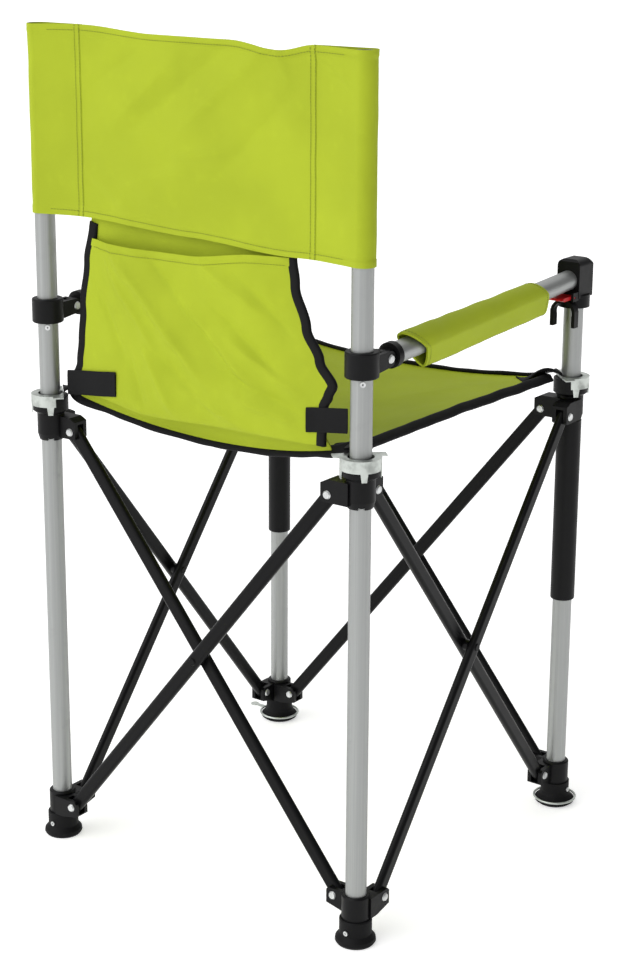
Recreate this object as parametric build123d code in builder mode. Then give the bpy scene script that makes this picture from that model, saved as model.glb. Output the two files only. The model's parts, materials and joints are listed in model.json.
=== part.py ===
from build123d import *

import math
import os

# Folding camp chair, millimetres. +Z is up, the floor is z = 0 and the sitter faces -Y, so the
# sitter's right is -X. The chair stands open. It is drawn round the middle of its four feet, then
# moved so that the origin is the middle of its bounding box.

# ---- legs ----
LEG_SPACING = 470.0  # between leg axes, across and front to back
TUBE_RADIUS = 12.5
TUBE_WALL = 1.5
TUBE_BOTTOM = 14.0  # the tubes stand inside the lower hubs
BACK_LEG_TOP = 1040.0
FRONT_LEG_TOP = 692.0
HALF = LEG_SPACING / 2

# ---- crossed bars ----
BAR_WIDTH = 18.0
BAR_THICKNESS = 10.0
BAR_EDGE_ROUND = 4.4
BAR_WALL = 1.6
BAR_PRESSED_END = 24.0  # from an end rivet to where the bar is hollow
BAR_PRESSED_MIDDLE = 14.0
BAR_OFFSET = 8.5  # each bar of a pair lies this far to one side of the leg's middle
PIVOT_INSET = 32.5  # from a leg's axis to a bar's pivot
LOWER_PIVOT_Z = 49.5
UPPER_PIVOT_Z = 551.0
RIVET_RADIUS = 3.0
RIVET_HEAD_RADIUS = 5.2
RIVET_HEAD_HEIGHT = 1.6
RUNNING_FIT = 0.05  # radial play of a rivet in a bar
SEATED_FIT = 0.02  # radial play of a rivet in its own hub
SIDE_PLAY = 0.3  # beside a bar in its clevis
SPACER_RADIUS = 7.0

# ---- hubs ----
HUB_RADIUS = 17.0
SLIDE_FIT = 0.08  # radial play of a sliding hub on its tube
SOCKET_FIT = 0.02  # radial play of a tube in its fixed hub
LOWER_HUB_BOTTOM = 8.0
LOWER_HUB_TOP = 62.0
UPPER_HUB_BOTTOM = 538.5
UPPER_HUB_TOP = 594.0
UPPER_NECK_BOTTOM = 572.0
EAR = 5.4  # thickness of one clevis ear
EAR_REACH = 9.0  # past the pivot
SLOT_BACK = 10.5  # from the pivot back to the clevis' inner wall
CLEVIS_HALF = BAR_THICKNESS / 2 + SIDE_PLAY + EAR

# ---- feet ----
FOOT_CUP_RADIUS = 19.5
FOOT_CUP_TOP = 32.0
FOOT_FLOOR = 6.0  # rubber under the hub
BACK_FOOT_RADIUS = 24.5
FRONT_FOOT_RADIUS = 26.0
FOOT_RING_RADIUS = 26.6
FOOT_RING_WIRE = 1.5
BACK_FOOT_SCREW_Z = 18.0
FRONT_FOOT_SCREW_Z = 22.0
FOOT_SCREW_RADIUS = 3.0
TAB_LENGTH = 24.0
TAB_WIDTH = 12.0
TAB_THICKNESS = 1.6

# ---- steel collars on the upper hubs ----
COLLAR_RADIUS = 23.8
COLLAR_SHEET = 1.5
COLLAR_FIT = 0.3
UPPER_NECK_RADIUS = COLLAR_RADIUS - COLLAR_SHEET - COLLAR_FIT  # the part of the hub that carries it
COLLAR_BOTTOM = 583.0
COLLAR_TOP = 597.0
COLLAR_HORN = 7.0  # how far the top plate's horns stand out past the skirt
PRONG_LENGTH = 10.0
PRONG_WIDTH = 9.0

# ---- sleeves under the front upper hubs ----
SLEEVE_RADIUS = 15.8
SLEEVE_BOTTOM = 294.0

# ---- armrests ----
ARM_PIVOT_INSET = 42.0  # from the back leg's axis to the armrest's rear rivet
ARM_PIVOT_Z = 701.0
ARM_RISE = 3.1  # degrees, towards the front
SLIDER_RADIUS = 19.3
SLIDER_BOTTOM = 687.0
SLIDER_TOP = 717.0
STOP_Z = 682.0
STOP_RADIUS = 3.2
STOP_ANGLE = 130.0
STOP_REACH = 15.3  # radius that clears the stop's head
TONGUE = 11.0
SLIDER_EAR = 4.6
FITTING_RADIUS = 15.0
FITTING_START = 10.5  # from the rear rivet, along the arm
FITTING_LENGTH = 9.0
PLUG_LENGTH = 28.0
CAP_RING_RADIUS = 20.0
CAP_RING_BORE = 15.5
CAP_RING_BOTTOM = 688.0
CAP_RING_TOP = 704.0
CAP_WIDTH = 32.0
CAP_REAR = 17.0  # from the front leg's axis back to the cap's rear face
CAP_FRONT = 18.0
CAP_TOP = 750.0
CAP_REST_GAP = 0.3  # between the leg's top and the cap
CLIP_BORE = 13.4
CLIP_MOUTH = 25.7
CLIP_RADIUS = 17.6
CLIP_CENTRE_Z = 683.0
CLIP_DEPTH = 10.0
LEVER_WIDTH = 24.0
LEVER_LENGTH = 28.0
LEVER_THICKNESS = 4.5
LEVER_PIN_RADIUS = 1.5
LEVER_PIN_Z = 704.0
LEVER_PIN_BACK = 26.0  # behind the front leg's axis

# ---- fabric, plain closed solids ----
FABRIC_GAP = 0.4  # between fabric and what it lies on
BACKREST_BOTTOM = 817.0
BACKREST_TOP = 1046.0
BACKREST_SHEET = 4.0
TUBE_POCKET_WALL = 1.6
PANEL_TOP = 832.0
PANEL_BOTTOM = 602.0
PANEL_TOP_HALF = 150.0
PANEL_BOTTOM_HALF = 192.0
PANEL_SHEET = 2.4
POCKET_TOP = 802.0
POCKET_DEPTH = 13.0
POCKET_MARGIN = 6.0
SEAT_EDGE_Z = 590.0
SEAT_MIDDLE_Z = 560.0
SEAT_SHEET = 4.0
SEAT_EDGE_GAP = 13.0  # from the leg axes' plane in to the seat's edge
# the seat's corners are cut off where they meet the hubs' necks
SEAT_CORNER = math.sqrt(2) * (UPPER_NECK_RADIUS + FABRIC_GAP) - 2 * SEAT_EDGE_GAP
PAD_REAR = 43.0  # from the rear rivet to the pad
PAD_LENGTH = 316.0
PAD_RADIUS = 17.5
PAD_DROP = 31.0  # from the arm's axis down to the pad's lower edge
PAD_BOTTOM_RADIUS = 7.0
PAD_SLIT = 5.0

SIDE_SHIFT = -12.5  # half of what the left foot ring's tab adds on the left

UP = Vector(0, 0, 1)
# corner: (name, side across, side along)
CORNERS = {
    "back_right": (-1, 1),
    "back_left": (1, 1),
    "front_right": (-1, -1),
    "front_left": (1, -1),
}
# On which side of the leg's middle each clevis holds its bar, 1 outside and -1 inside:
# (lower across, lower along, upper across, upper along)
CLEVIS_SIDES = {
    "back_right": (-1, 1, 1, -1),
    "back_left": (1, -1, -1, 1),
    "front_right": (1, -1, -1, 1),
    "front_left": (-1, 1, 1, -1),
}

os.makedirs("parts", exist_ok=True)


def write(piece, name):
    piece = piece.moved(Location((SIDE_SHIFT, 0, 0)))
    piece.label = name
    export_step(piece, f"parts/{name}.step")


def leg_axis(corner):
    across, along = CORNERS[corner]
    return Vector(across * HALF, along * HALF, 0)


def clevis_frames(corner):
    """For the clevis that reaches across and the one that reaches along: the direction in which it
    reaches, and the direction outwards."""
    across, along = CORNERS[corner]
    return (
        (Vector(-across, 0, 0), Vector(0, along, 0)),
        (Vector(0, -along, 0), Vector(across, 0, 0)),
    )


def clevis_plane(corner, which, side):
    """The bar's middle plane in a clevis: x reaches out from the leg's axis and y is up."""
    reach, out = clevis_frames(corner)[which]
    return Plane(leg_axis(corner) + out * (side * BAR_OFFSET), x_dir=reach, z_dir=reach.cross(UP))


def cut_clevis(plane, pivot_z, slot_low, slot_high):
    """Cuts the slot for a bar's end, and the rivet's hole."""
    with BuildSketch(plane) as slot:
        with Locations((PIVOT_INSET, (slot_low + slot_high) / 2)):
            Rectangle(SLOT_BACK, slot_high - slot_low, align=(Align.MAX, Align.CENTER))
            Rectangle(2 * EAR_REACH, slot_high - slot_low, align=(Align.MIN, Align.CENTER))
    extrude(slot.sketch, amount=BAR_THICKNESS / 2 + SIDE_PLAY, both=True, mode=Mode.SUBTRACT)
    with BuildSketch(plane) as hole:
        with Locations((PIVOT_INSET, pivot_z)):
            Circle(RIVET_RADIUS + SEATED_FIT)
    extrude(hole.sketch, amount=CLEVIS_HALF + 1, both=True, mode=Mode.SUBTRACT)


def add_rivet(plane, half_length, radius=RIVET_RADIUS, head=RIVET_HEAD_RADIUS):
    """A rivet along the plane's normal through its origin, with a low domed head at each end."""
    with BuildSketch(plane) as shank:
        Circle(radius)
    extrude(shank.sketch, amount=half_length + RIVET_HEAD_HEIGHT / 2, both=True)
    for end in (plane.offset(half_length), Plane(plane.origin, z_dir=-plane.z_dir).offset(half_length)):
        with BuildSketch(end) as disc:
            Circle(head)
        extrude(disc.sketch, amount=RIVET_HEAD_HEIGHT, taper=35)


# ---------------------------------------------------------------- legs
for corner in CORNERS:
    top = BACK_LEG_TOP if corner.startswith("back") else FRONT_LEG_TOP
    with BuildPart() as leg_tube:
        with BuildSketch(Plane(leg_axis(corner) + UP * TUBE_BOTTOM)):
            Circle(TUBE_RADIUS)
            Circle(TUBE_RADIUS - TUBE_WALL, mode=Mode.SUBTRACT)
        extrude(amount=top - TUBE_BOTTOM)
        if corner.startswith("back"):
            # hole for the pin that stops the armrest's slider
            with BuildSketch(
                Plane(leg_axis(corner) + UP * STOP_Z, z_dir=Vector(1, 0, 0).rotate(Axis.Z, STOP_ANGLE))
            ):
                Circle(STOP_RADIUS / 2)
            extrude(amount=TUBE_RADIUS + 1, mode=Mode.SUBTRACT)
    write(leg_tube.part, f"{corner}_leg_tube")

# ---------------------------------------------------------------- lower hubs
for corner in CORNERS:
    axis = leg_axis(corner)
    sides = CLEVIS_SIDES[corner][:2]
    with BuildPart() as lower_hub:
        with BuildSketch(Plane(axis + UP * LOWER_HUB_BOTTOM)):
            Circle(HUB_RADIUS)
        extrude(amount=LOWER_HUB_TOP - LOWER_HUB_BOTTOM)
        chamfer(lower_hub.faces().sort_by(Axis.Z)[-1].edges(), 1.5)
        for which, side in enumerate(sides):
            with BuildSketch(clevis_plane(corner, which, side)):
                with BuildLine():
                    Polyline(
                        (4, LOWER_PIVOT_Z + EAR_REACH),
                        (PIVOT_INSET + EAR_REACH - 3, LOWER_PIVOT_Z + EAR_REACH),
                        (PIVOT_INSET + EAR_REACH, LOWER_PIVOT_Z + EAR_REACH - 3),
                        (PIVOT_INSET + EAR_REACH, LOWER_PIVOT_Z - EAR_REACH - 2),
                        (HUB_RADIUS, FOOT_CUP_TOP + 1),
                        (4, FOOT_CUP_TOP + 1),
                        close=True,
                    )
                make_face()
            extrude(amount=CLEVIS_HALF, both=True)
        for which, side in enumerate(sides):
            cut_clevis(
                clevis_plane(corner, which, side),
                LOWER_PIVOT_Z,
                LOWER_PIVOT_Z - EAR_REACH - 0.6,
                LOWER_HUB_TOP + 20,
            )
        with BuildSketch(Plane(axis + UP * TUBE_BOTTOM)):
            Circle(TUBE_RADIUS + SOCKET_FIT)
        extrude(amount=LOWER_HUB_TOP, mode=Mode.SUBTRACT)
    write(lower_hub.part, f"{corner}_lower_hub")


def foot_screw_plane(corner):
    """On the leg's axis, looking out along the foot's screw."""
    across, along = CORNERS[corner]
    if corner.startswith("back"):
        return Plane(leg_axis(corner) + UP * BACK_FOOT_SCREW_Z, z_dir=(0, along, 0))
    return Plane(leg_axis(corner) + UP * FRONT_FOOT_SCREW_Z, z_dir=(across, 0, 0))


# ---------------------------------------------------------------- feet
for corner in CORNERS:
    is_back = corner.startswith("back")
    skirt = BACK_FOOT_RADIUS if is_back else FRONT_FOOT_RADIUS
    with BuildPart() as foot:
        with BuildSketch(Plane(leg_axis(corner), x_dir=(1, 0, 0), z_dir=(0, -1, 0))):
            with BuildLine():
                if is_back:
                    Polyline(
                        (HUB_RADIUS + SOCKET_FIT, LOWER_HUB_BOTTOM),
                        (0, LOWER_HUB_BOTTOM),
                        (0, 0),
                        (skirt - 2, 0),
                        (skirt, 3),
                        (skirt - 0.5, 7),
                        (FOOT_CUP_RADIUS, 12.5),
                        (FOOT_CUP_RADIUS, FOOT_CUP_TOP - 1.5),
                        (FOOT_CUP_RADIUS - 1, FOOT_CUP_TOP),
                        (HUB_RADIUS + SOCKET_FIT, FOOT_CUP_TOP),
                        close=True,
                    )
                else:
                    Polyline(
                        (HUB_RADIUS + SOCKET_FIT, LOWER_HUB_BOTTOM),
                        (0, LOWER_HUB_BOTTOM),
                        (0, 0),
                        (skirt - 4, 0),
                        (skirt, 3),
                        (skirt, 7),
                        (skirt - 2.5, 9.5),
                        (FOOT_CUP_RADIUS + 1, 13),
                        (FOOT_CUP_RADIUS - 0.5, 18),
                        (FOOT_CUP_RADIUS - 0.5, FOOT_CUP_TOP),
                        (HUB_RADIUS + SOCKET_FIT, FOOT_CUP_TOP),
                        close=True,
                    )
            make_face()
        revolve(axis=Axis(leg_axis(corner), (0, 0, 1)))
        with BuildSketch(foot_screw_plane(corner)):
            Circle(FOOT_SCREW_RADIUS / 2)
        extrude(amount=skirt, mode=Mode.SUBTRACT)
    write(foot.part, f"{corner}_foot")

# Steel rings round the front feet. The left one has a flat tab.
for corner in ("front_right", "front_left"):
    across, along = CORNERS[corner]
    with BuildPart() as foot_ring:
        with BuildSketch(Plane(leg_axis(corner), x_dir=(1, 0, 0), z_dir=(0, -1, 0))):
            with Locations((FOOT_RING_RADIUS + FOOT_RING_WIRE - 0.5, 8.5)):
                Circle(FOOT_RING_WIRE)
        revolve(axis=Axis(leg_axis(corner), (0, 0, 1)))
        if corner == "front_left":
            start = FOOT_RING_RADIUS + FOOT_RING_WIRE
            with BuildSketch(Plane(leg_axis(corner) + UP * (8.5 - TAB_THICKNESS / 2))):
                with Locations((start + TAB_LENGTH - TAB_WIDTH / 2, 0)):
                    Circle(TAB_WIDTH / 2)
                with Locations((start - 1, 0)):
                    Rectangle(TAB_LENGTH - TAB_WIDTH / 2, 6, align=(Align.MIN, Align.CENTER))
            extrude(amount=TAB_THICKNESS)
    write(foot_ring.part, f"{corner}_foot_ring")

# ---------------------------------------------------------------- screws and rivets of the legs
for corner in CORNERS:
    with BuildPart() as leg_fasteners:
        for which, side in enumerate(CLEVIS_SIDES[corner][:2]):
            plane = clevis_plane(corner, which, side)
            pivot = plane.from_local_coords((PIVOT_INSET, LOWER_PIVOT_Z, 0))
            add_rivet(Plane(pivot, z_dir=plane.z_dir), CLEVIS_HALF)
        shell = FOOT_CUP_RADIUS - (0 if corner.startswith("back") else 0.5)
        head = foot_screw_plane(corner).offset(shell + 0.1)
        with BuildSketch(head):
            Circle(FOOT_SCREW_RADIUS)
            Circle(1.2, mode=Mode.SUBTRACT)
        extrude(amount=1.4)
        with BuildSketch(head):
            Circle(FOOT_SCREW_RADIUS / 2 - SEATED_FIT)
        extrude(amount=-(shell - HUB_RADIUS - 0.3))
        if corner.startswith("back"):
            out = Vector(1, 0, 0).rotate(Axis.Z, STOP_ANGLE)
            with BuildSketch(Plane(leg_axis(corner) + UP * STOP_Z + out * (TUBE_RADIUS + 0.2), z_dir=out)):
                Circle(STOP_RADIUS)
                Circle(1.1, mode=Mode.SUBTRACT)
            extrude(amount=2.0)
            with BuildSketch(
                Plane(leg_axis(corner) + UP * STOP_Z + out * (TUBE_RADIUS - TUBE_WALL - 1), z_dir=out)
            ):
                Circle(STOP_RADIUS / 2 - SEATED_FIT)
                Circle(0.8, mode=Mode.SUBTRACT)
            extrude(amount=TUBE_WALL + 1.6)
    write(leg_fasteners.part, f"{corner}_leg_fasteners")

# ---------------------------------------------------------------- upper hubs, collars and rivets
for corner in CORNERS:
    axis = leg_axis(corner)
    sides = CLEVIS_SIDES[corner][2:]
    with BuildPart() as upper_hub:
        with BuildSketch(Plane(axis, x_dir=(1, 0, 0), z_dir=(0, -1, 0))):
            with BuildLine():
                Polyline(
                    (0, UPPER_HUB_BOTTOM),
                    (TUBE_RADIUS + 2.2, UPPER_HUB_BOTTOM),
                    (HUB_RADIUS, UPPER_HUB_BOTTOM + 8),
                    (HUB_RADIUS, UPPER_NECK_BOTTOM),
                    (UPPER_NECK_RADIUS, UPPER_NECK_BOTTOM + 4),
                    (UPPER_NECK_RADIUS, UPPER_HUB_TOP),
                    (0, UPPER_HUB_TOP),
                    close=True,
                )
            make_face()
        revolve(axis=Axis(axis, (0, 0, 1)))
        for which, side in enumerate(sides):
            with BuildSketch(clevis_plane(corner, which, side)):
                with BuildLine():
                    Polyline(
                        (4, UPPER_PIVOT_Z - EAR_REACH),
                        (PIVOT_INSET + EAR_REACH - 2, UPPER_PIVOT_Z - EAR_REACH),
                        (PIVOT_INSET + EAR_REACH, UPPER_PIVOT_Z - EAR_REACH + 2),
                        (PIVOT_INSET + EAR_REACH, UPPER_PIVOT_Z + 1.5 * EAR_REACH),
                        (PIVOT_INSET + EAR_REACH - 9, UPPER_PIVOT_Z + 2 * EAR_REACH),
                        (4, UPPER_PIVOT_Z + 2 * EAR_REACH),
                        close=True,
                    )
                make_face()
            extrude(amount=CLEVIS_HALF, both=True)
        for which, side in enumerate(sides):
            cut_clevis(
                clevis_plane(corner, which, side),
                UPPER_PIVOT_Z,
                UPPER_HUB_BOTTOM - 20,
                UPPER_PIVOT_Z + EAR_REACH + 0.6,
            )
        with BuildSketch(Plane(axis + UP * UPPER_HUB_BOTTOM)):
            Circle(TUBE_RADIUS + SLIDE_FIT)
        extrude(amount=UPPER_HUB_TOP - UPPER_HUB_BOTTOM, mode=Mode.SUBTRACT)
        if corner.startswith("back"):
            # a groove in the bore passes the slider's stop when the chair folds
            with BuildSketch(Plane(axis + UP * (UPPER_HUB_BOTTOM - 1))):
                with Locations(Vector(STOP_REACH / 2, 0, 0).rotate(Axis.Z, STOP_ANGLE)):
                    Rectangle(STOP_REACH, 2 * STOP_RADIUS + 1, rotation=STOP_ANGLE)
            extrude(amount=UPPER_HUB_TOP - UPPER_HUB_BOTTOM + 2, mode=Mode.SUBTRACT)
    write(upper_hub.part, f"{corner}_upper_hub")

    across, along = CORNERS[corner]
    outward = math.degrees(math.atan2(along, across))
    collar_plane = Plane(axis, x_dir=Vector(1, 0, 0).rotate(Axis.Z, outward), z_dir=(0, 0, 1))
    with BuildPart() as collar:
        # the skirt, open towards the middle of the seat
        with BuildSketch(collar_plane.offset(COLLAR_BOTTOM)):
            Circle(COLLAR_RADIUS)
            Circle(COLLAR_RADIUS - COLLAR_SHEET, mode=Mode.SUBTRACT)
            with Locations((-6, 0)):
                Rectangle(2 * COLLAR_RADIUS, 3 * COLLAR_RADIUS, align=(Align.MAX, Align.CENTER),
                          mode=Mode.SUBTRACT)
        extrude(amount=COLLAR_TOP - COLLAR_BOTTOM)
        # the top plate with its two horns
        with BuildSketch(collar_plane.offset(COLLAR_TOP - COLLAR_SHEET)):
            Circle(COLLAR_RADIUS)
            with Locations((-9, 0)):
                Rectangle(13, 2 * (COLLAR_RADIUS + COLLAR_HORN))
            with Locations((-16, 0)):
                Rectangle(2 * COLLAR_RADIUS, 3 * COLLAR_RADIUS, align=(Align.MAX, Align.CENTER),
                          mode=Mode.SUBTRACT)
            Circle(STOP_REACH, mode=Mode.SUBTRACT)
        extrude(amount=COLLAR_SHEET)
        # three prongs, one outwards and one at each end of the skirt
        for turn in (0, 88, -88):
            prong_plane = collar_plane.rotated((0, 0, turn))
            face = Plane(
                prong_plane.from_local_coords((COLLAR_RADIUS - COLLAR_SHEET, 0, COLLAR_BOTTOM)),
                x_dir=prong_plane.y_dir,
                z_dir=prong_plane.x_dir,
            )
            with BuildSketch(face):
                with BuildLine():
                    Polyline(
                        (-PRONG_WIDTH / 2, 1),
                        (PRONG_WIDTH / 2, 1),
                        (PRONG_WIDTH / 3, -PRONG_LENGTH),
                        (-PRONG_WIDTH / 3, -PRONG_LENGTH),
                        close=True,
                    )
                make_face()
            extrude(amount=COLLAR_SHEET * 0.8)
    write(collar.part, f"{corner}_collar")

    with BuildPart() as hub_rivets:
        for which, side in enumerate(sides):
            plane = clevis_plane(corner, which, side)
            pivot = plane.from_local_coords((PIVOT_INSET, UPPER_PIVOT_Z, 0))
            add_rivet(Plane(pivot, z_dir=plane.z_dir), CLEVIS_HALF)
    write(hub_rivets.part, f"{corner}_hub_rivets")

# ---------------------------------------------------------------- guide sleeves on the front legs
for corner in ("front_right", "front_left"):
    with BuildPart() as sleeve:
        with BuildSketch(Plane(leg_axis(corner) + UP * SLEEVE_BOTTOM)):
            Circle(SLEEVE_RADIUS)
        extrude(amount=UPPER_HUB_BOTTOM - SLEEVE_BOTTOM)
        fillet(sleeve.faces().sort_by(Axis.Z)[0].edges(), 1.5)
        with BuildSketch(Plane(leg_axis(corner) + UP * SLEEVE_BOTTOM)):
            Circle(TUBE_RADIUS + SLIDE_FIT)
        extrude(amount=UPPER_HUB_BOTTOM - SLEEVE_BOTTOM, mode=Mode.SUBTRACT)
    write(sleeve.part, f"{corner}_sleeve")

# ---------------------------------------------------------------- crossed bars
# name: (which clevis, corner of the lower end, corner of the upper end, 1 outside and -1 inside)
BARS = {
    "right_bar_outer": (1, "back_right", "front_right", 1),
    "right_bar_inner": (1, "front_right", "back_right", -1),
    "left_bar_outer": (1, "front_left", "back_left", 1),
    "left_bar_inner": (1, "back_left", "front_left", -1),
    "back_bar_outer": (0, "back_left", "back_right", 1),
    "back_bar_inner": (0, "back_right", "back_left", -1),
    "front_bar_outer": (0, "front_right", "front_left", 1),
    "front_bar_inner": (0, "front_left", "front_right", -1),
}
for name, (which, low_corner, high_corner, side) in BARS.items():
    low = clevis_plane(low_corner, which, side).from_local_coords((PIVOT_INSET, LOWER_PIVOT_Z, 0))
    high = clevis_plane(high_corner, which, side).from_local_coords((PIVOT_INSET, UPPER_PIVOT_Z, 0))
    out = clevis_frames(low_corner)[which][1]
    along_bar = high - low
    bar_plane = Plane((low + high) / 2, x_dir=along_bar, z_dir=out)
    with BuildPart() as bar:
        with BuildSketch(bar_plane):
            SlotCenterToCenter(along_bar.length, BAR_WIDTH)
        extrude(amount=BAR_THICKNESS / 2, both=True)
        fillet(
            bar.faces().filter_by(Plane(bar_plane.origin, z_dir=out)).edges(),
            BAR_EDGE_ROUND,
        )
        with BuildSketch(bar_plane):
            with Locations((-along_bar.length / 2, 0), (along_bar.length / 2, 0)):
                Circle(RIVET_RADIUS + RUNNING_FIT)
            Circle(RIVET_RADIUS + (SEATED_FIT if side > 0 else RUNNING_FIT))
        extrude(amount=BAR_THICKNESS, both=True, mode=Mode.SUBTRACT)
        for start in (BAR_PRESSED_END - along_bar.length / 2, BAR_PRESSED_MIDDLE):
            # hollow between the places that are pressed flat for the rivets
            with BuildSketch(
                Plane(
                    bar_plane.origin + bar_plane.x_dir * start,
                    x_dir=bar_plane.y_dir,
                    z_dir=bar_plane.x_dir,
                )
            ):
                SlotOverall(BAR_WIDTH - 2 * BAR_WALL, BAR_THICKNESS - 2 * BAR_WALL)
            extrude(
                amount=along_bar.length / 2 - BAR_PRESSED_END - BAR_PRESSED_MIDDLE,
                mode=Mode.SUBTRACT,
            )
        if side > 0:
            # the rivet and spacer that join the pair at the middle
            gap = 2 * BAR_OFFSET - BAR_THICKNESS
            add_rivet(bar_plane.offset(-BAR_OFFSET), BAR_OFFSET + BAR_THICKNESS / 2 + 0.1)
            with BuildSketch(bar_plane.offset(-BAR_THICKNESS / 2 - gap + 0.2)):
                Circle(SPACER_RADIUS)
            extrude(amount=gap - 0.3)
    write(bar.part, name)

# ---------------------------------------------------------------- armrests
for side_name, across in (("right", -1), ("left", 1)):
    back_axis = Vector(across * HALF, HALF, 0)
    front_axis = Vector(across * HALF, -HALF, 0)
    pivot = back_axis + Vector(0, -ARM_PIVOT_INSET, ARM_PIVOT_Z)
    rise = math.radians(ARM_RISE)
    arm_direction = Vector(0, -math.cos(rise), math.sin(rise))
    arm_plane = Plane(pivot, x_dir=(1, 0, 0), z_dir=arm_direction)
    side_plane = Plane(pivot, x_dir=(0, -1, 0), z_dir=Vector(0, -1, 0).cross(UP))
    ear_half = TONGUE / 2 + SIDE_PLAY + SLIDER_EAR

    with BuildPart() as slider:
        with BuildSketch(Plane(back_axis + UP * SLIDER_BOTTOM)):
            Circle(SLIDER_RADIUS)
        extrude(amount=SLIDER_TOP - SLIDER_BOTTOM)
        fillet(slider.edges().filter_by(GeomType.CIRCLE), 2.0)
        with BuildSketch(side_plane):
            with BuildLine():
                Polyline(
                    (0, 9),
                    (-ARM_PIVOT_INSET + 4, 9),
                    (-ARM_PIVOT_INSET + 4, -12),
                    (-ARM_PIVOT_INSET + 16, -12),
                    (0, -9),
                )
                ThreePointArc((0, -9), (9, 0), (0, 9))
            make_face()
        extrude(amount=ear_half, both=True)
        with BuildSketch(side_plane):
            with Locations((-ARM_PIVOT_INSET + SLIDER_RADIUS + 8, 0)):
                Rectangle(2 * ARM_PIVOT_INSET, 40, align=(Align.MIN, Align.CENTER))
        extrude(amount=TONGUE / 2 + SIDE_PLAY, both=True, mode=Mode.SUBTRACT)
        with BuildSketch(side_plane):
            Circle(RIVET_RADIUS + SEATED_FIT)
        extrude(amount=ear_half + 1, both=True, mode=Mode.SUBTRACT)
        with BuildSketch(Plane(back_axis + UP * (SLIDER_BOTTOM - 1))):
            Circle(TUBE_RADIUS + SLIDE_FIT)
        extrude(amount=SLIDER_TOP - SLIDER_BOTTOM + 2, mode=Mode.SUBTRACT)
    write(slider.part, f"{side_name}_arm_slider")

    with BuildPart() as arm_rivet:
        add_rivet(side_plane, ear_half)
    write(arm_rivet.part, f"{side_name}_arm_rivet")

    tube_start = FITTING_START + FITTING_LENGTH
    tube_end = (LEG_SPACING - ARM_PIVOT_INSET) / math.cos(rise) + 3
    with BuildPart() as arm_fitting:
        with BuildSketch(side_plane):
            Circle(8.5)
            Rectangle(FITTING_START + 2, 17, align=(Align.MIN, Align.CENTER))
        extrude(amount=TONGUE / 2, both=True)
        with BuildSketch(arm_plane.offset(FITTING_START)):
            Circle(FITTING_RADIUS)
        extrude(amount=FITTING_LENGTH)
        with BuildSketch(arm_plane.offset(tube_start)):
            Circle(TUBE_RADIUS - TUBE_WALL - SOCKET_FIT)
            Circle(TUBE_RADIUS - 3 * TUBE_WALL, mode=Mode.SUBTRACT)
        extrude(amount=PLUG_LENGTH)
        with BuildSketch(side_plane):
            Circle(RIVET_RADIUS + RUNNING_FIT)
        extrude(amount=TONGUE, both=True, mode=Mode.SUBTRACT)
    write(arm_fitting.part, f"{side_name}_arm_fitting")

    with BuildPart() as arm_tube:
        with BuildSketch(arm_plane.offset(tube_start)):
            Circle(TUBE_RADIUS)
            Circle(TUBE_RADIUS - TUBE_WALL, mode=Mode.SUBTRACT)
        extrude(amount=tube_end - tube_start)
    write(arm_tube.part, f"{side_name}_arm_tube")

    # The cap: a block on the arm's end, a ring that hoods the front leg's top, the storage clip
    # that hangs behind it, and two cheeks for the latch lever.
    clip_front = CAP_RING_RADIUS - 1
    with BuildPart() as arm_cap:
        with BuildSketch(Plane(front_axis, x_dir=(0, 1, 0), z_dir=(1, 0, 0))):
            with BuildLine():
                Polyline(
                    (CAP_REAR, CAP_RING_TOP - 3),
                    (CAP_REAR, CAP_TOP - 3),
                    (CAP_REAR - 4, CAP_TOP),
                    (-CAP_FRONT + 7, CAP_TOP),
                    (-CAP_FRONT, CAP_TOP - 8),
                    (-CAP_FRONT, CAP_RING_TOP - 3),
                    close=True,
                )
            make_face()
        extrude(amount=CAP_WIDTH / 2, both=True)
        fillet(arm_cap.faces().sort_by(Axis.Z)[-1].edges().filter_by(Axis.Y), 9)
        with BuildSketch(Plane(front_axis + UP * CAP_RING_BOTTOM)):
            Circle(CAP_RING_RADIUS)
        extrude(amount=CAP_RING_TOP - CAP_RING_BOTTOM)
        with BuildSketch(Plane(front_axis + UP * (CAP_RING_BOTTOM - 1))):
            Circle(CAP_RING_BORE)
        extrude(amount=FRONT_LEG_TOP + CAP_REST_GAP - CAP_RING_BOTTOM + 1, mode=Mode.SUBTRACT)
        # the clip
        clip_plane = Plane(
            front_axis + Vector(0, clip_front, CLIP_CENTRE_Z), x_dir=(-1, 0, 0), z_dir=(0, 1, 0)
        )
        with BuildSketch(clip_plane):
            Circle(CLIP_RADIUS)
            with Locations((0, -CLIP_RADIUS)):
                Rectangle(2 * CLIP_RADIUS, 2 * CLIP_RADIUS - 14, align=(Align.CENTER, Align.MIN))
            Circle(CLIP_BORE, mode=Mode.SUBTRACT)
            with Locations((0, 0)):
                Rectangle(CLIP_MOUTH, 2 * CLIP_RADIUS, align=(Align.CENTER, Align.MAX), mode=Mode.SUBTRACT)
        extrude(amount=CLIP_DEPTH)
        # the cheeks
        for cheek in (-1, 1):
            with BuildSketch(
                Plane(
                    front_axis + Vector(cheek * (LEVER_WIDTH / 2 + SIDE_PLAY), 0, 0),
                    x_dir=(0, cheek, 0),
                    z_dir=(cheek, 0, 0),
                )
            ):
                with Locations((cheek * (CAP_REAR - 2), CAP_RING_TOP - 5)):
                    Rectangle(
                        LEVER_PIN_BACK - CAP_REAR + 6,
                        11,
                        align=(Align.MIN if cheek > 0 else Align.MAX, Align.MIN),
                    )
            extrude(amount=3.2)
        with BuildSketch(Plane(front_axis + Vector(0, LEVER_PIN_BACK, LEVER_PIN_Z), z_dir=(1, 0, 0))):
            Circle(LEVER_PIN_RADIUS + SEATED_FIT)
        extrude(amount=CAP_WIDTH, both=True, mode=Mode.SUBTRACT)
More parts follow.
